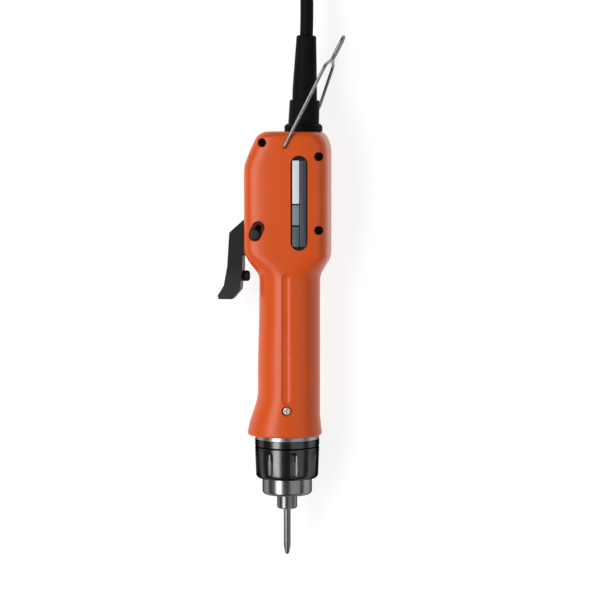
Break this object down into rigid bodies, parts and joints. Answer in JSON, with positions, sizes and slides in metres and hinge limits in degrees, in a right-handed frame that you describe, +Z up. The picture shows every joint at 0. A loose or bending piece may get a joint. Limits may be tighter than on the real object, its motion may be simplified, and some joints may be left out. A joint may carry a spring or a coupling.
{
  "type": "electric torque screwdriver",
  "caption": "Corded lever-start electric screwdriver with a torque-setting ring, quick-change bit sleeve and wire bail.",
  "frame": {"origin": "centre of the base of the tool's own box, without its lead: the tool lies on its side on a table", "axes": "+Y along the tool from the bit to the lead, -X to the start lever, +Z up from the table"},
  "size_m": [0.0999, 0.4572, 0.043],
  "materials": {
    "housing": "satin moulded",
    "black_plastic": "satin moulded",
    "switch_plastic": "moulded",
    "board": "coated laminate",
    "black_ring": "black anodised",
    "rubber": "matt",
    "tie": "woven hook tape",
    "dark_screw": "blackened",
    "bright_steel": "plated, turned",
    "tool_steel": "hardened",
    "wire": "drawn",
    "case_metal": "turned",
    "gear_steel": "ground",
    "bronze": "turned",
    "motor_metal": "plated",
    "carbon": "pressed carbon",
    "plate": "brushed, bare"
  },
  "bodies": {
    "housing": {"upper_shell": "housing", "lower_shell": "housing", "head_screws": "dark_screw", "handle_screw": "bright_steel", "name_plate": "plate", "lever_pin": "tool_steel", "lever_spring": "wire", "start_switch_body": "switch_plastic", "circuit_board": "board", "selector_switch": "switch_plastic", "cord_guard": "rubber", "gear_case": "case_metal", "ring_gear": "gear_steel", "scale_ring": "black_ring", "nose_cap": "bright_steel", "nose_bearing": "bronze", "motor_can": "motor_metal", "motor_magnets": "motor_metal", "motor_end_cap": "switch_plastic", "carbon_brushes": "carbon", "thrust_washer": "gear_steel", "torque_spring": "wire", "sleeve_spring": "wire", "cord": "rubber", "cord_coil": "rubber", "cord_end": "rubber", "cord_tie": "tie", "plug_body": "black_plastic", "plug_ring": "bright_steel", "plug_pins": "bronze"},
    "start_lever": {"lever": "black_plastic", "lever_bumper": "rubber"},
    "switch_plunger": {"start_switch_plunger": "black_plastic"},
    "selector": {"selector_knob": "black_plastic"},
    "bail": {"suspension_bail": "wire"},
    "torque_ring": {"torque_collar": "black_ring"},
    "spring_carriage": {"spring_seat": "gear_steel"},
    "rotor": {"motor_shaft": "gear_steel", "armature": "gear_steel", "commutator": "bronze", "sun_pinion": "gear_steel"},
    "carrier_one": {"first_carrier": "gear_steel"},
    "carrier_two": {"second_carrier": "gear_steel"},
    "spindle": {"output_spindle": "tool_steel", "clutch_plate": "gear_steel", "clutch_balls": "bright_steel", "sleeve_clip": "bright_steel", "bit_ball": "bright_steel", "bit": "tool_steel"},
    "sleeve": {"bit_sleeve": "bright_steel"},
    "first_planet_1_body": {"first_planet_1": "gear_steel"},
    "first_planet_2_body": {"first_planet_2": "gear_steel"},
    "first_planet_3_body": {"first_planet_3": "gear_steel"},
    "second_planet_1_body": {"second_planet_1": "gear_steel"},
    "second_planet_2_body": {"second_planet_2": "gear_steel"},
    "second_planet_3_body": {"second_planet_3": "gear_steel"}
  },
  "joints": [
    {"name": "lever_swing", "type": "hinge", "parent": "housing", "child": "start_lever", "pos_m": [-0.01438, 0.04637, 0.0215], "axis": [0, 0, 1], "range_deg": [0, 7], "stiffness_Nm_per_rad": 0.4, "springref_deg": -17.19, "deforming": ["lever_spring"]},
    {"name": "plunger_slide", "type": "slide", "parent": "housing", "child": "switch_plunger", "axis": [1, 0, 0], "range_m": [0, 0.0024]},
    {"name": "selector_slide", "type": "slide", "parent": "housing", "child": "selector", "axis": [0.4226, 0.9063, 0], "range_m": [0, 0.004]},
    {"name": "bail_swing", "type": "hinge", "parent": "housing", "child": "bail", "pos_m": [0.00442, 0.08217, 0.0215], "axis": [0, 0, 1], "range_deg": [-95, 6]},
    {"name": "torque_ring_turn", "type": "hinge", "parent": "housing", "child": "torque_ring", "pos_m": [0.00362, -0.09443, 0.0215], "axis": [0, 1, 0], "range_deg": [0, 330]},
    {"name": "spring_seat_slide", "type": "slide", "parent": "housing", "child": "spring_carriage", "axis": [0, 1, 0], "range_m": [0, 0.00301], "deforming": ["torque_spring"]},
    {"name": "motor_spin", "type": "hinge", "parent": "housing", "child": "rotor", "pos_m": [0.00362, -0.05943, 0.0215], "axis": [0, 1, 0], "continuous": true},
    {"name": "first_carrier_spin", "type": "hinge", "parent": "housing", "child": "carrier_one", "pos_m": [0.00362, -0.05943, 0.0215], "axis": [0, 1, 0], "continuous": true},
    {"name": "second_carrier_spin", "type": "hinge", "parent": "housing", "child": "carrier_two", "pos_m": [0.00362, -0.05943, 0.0215], "axis": [0, 1, 0], "continuous": true},
    {"name": "spindle_spin", "type": "hinge", "parent": "housing", "child": "spindle", "pos_m": [0.00362, -0.05943, 0.0215], "axis": [0, 1, 0], "continuous": true},
    {"name": "sleeve_slide", "type": "slide", "parent": "spindle", "child": "sleeve", "axis": [0, 1, 0], "range_m": [0, 0.0025], "stiffness_N_per_m": 400, "springref_m": -0.002, "deforming": ["sleeve_spring"]},
    {"name": "first_planet_1_spin", "type": "hinge", "parent": "carrier_one", "child": "first_planet_1_body", "pos_m": [0.01037, -0.05943, 0.0215], "axis": [0, 1, 0], "continuous": true},
    {"name": "first_planet_2_spin", "type": "hinge", "parent": "carrier_one", "child": "first_planet_2_body", "pos_m": [0.00025, -0.05943, 0.01565], "axis": [0, 1, 0], "continuous": true},
    {"name": "first_planet_3_spin", "type": "hinge", "parent": "carrier_one", "child": "first_planet_3_body", "pos_m": [0.00025, -0.05943, 0.02735], "axis": [0, 1, 0], "continuous": true},
    {"name": "second_planet_1_spin", "type": "hinge", "parent": "carrier_two", "child": "second_planet_1_body", "pos_m": [0.01037, -0.05943, 0.0215], "axis": [0, 1, 0], "continuous": true},
    {"name": "second_planet_2_spin", "type": "hinge", "parent": "carrier_two", "child": "second_planet_2_body", "pos_m": [0.00025, -0.05943, 0.01565], "axis": [0, 1, 0], "continuous": true},
    {"name": "second_planet_3_spin", "type": "hinge", "parent": "carrier_two", "child": "second_planet_3_body", "pos_m": [0.00025, -0.05943, 0.02735], "axis": [0, 1, 0], "continuous": true}
  ],
  "couplings": [
    {"joint": "plunger_slide", "follows": "lever_swing", "m_per_rad": 0.0188},
    {"joint": "spring_seat_slide", "follows": "torque_ring_turn", "m_per_rad": 0.00052087},
    {"joint": "first_carrier_spin", "follows": "motor_spin", "ratio": 0.22222},
    {"joint": "second_carrier_spin", "follows": "motor_spin", "ratio": 0.049383},
    {"joint": "spindle_spin", "follows": "motor_spin", "ratio": 0.049383},
    {"joint": "first_planet_1_spin", "follows": "motor_spin", "ratio": -0.62222},
    {"joint": "first_planet_2_spin", "follows": "motor_spin", "ratio": -0.62222},
    {"joint": "first_planet_3_spin", "follows": "motor_spin", "ratio": -0.62222},
    {"joint": "second_planet_1_spin", "follows": "motor_spin", "ratio": -0.13827},
    {"joint": "second_planet_2_spin", "follows": "motor_spin", "ratio": -0.13827},
    {"joint": "second_planet_3_spin", "follows": "motor_spin", "ratio": -0.13827}
  ]
}
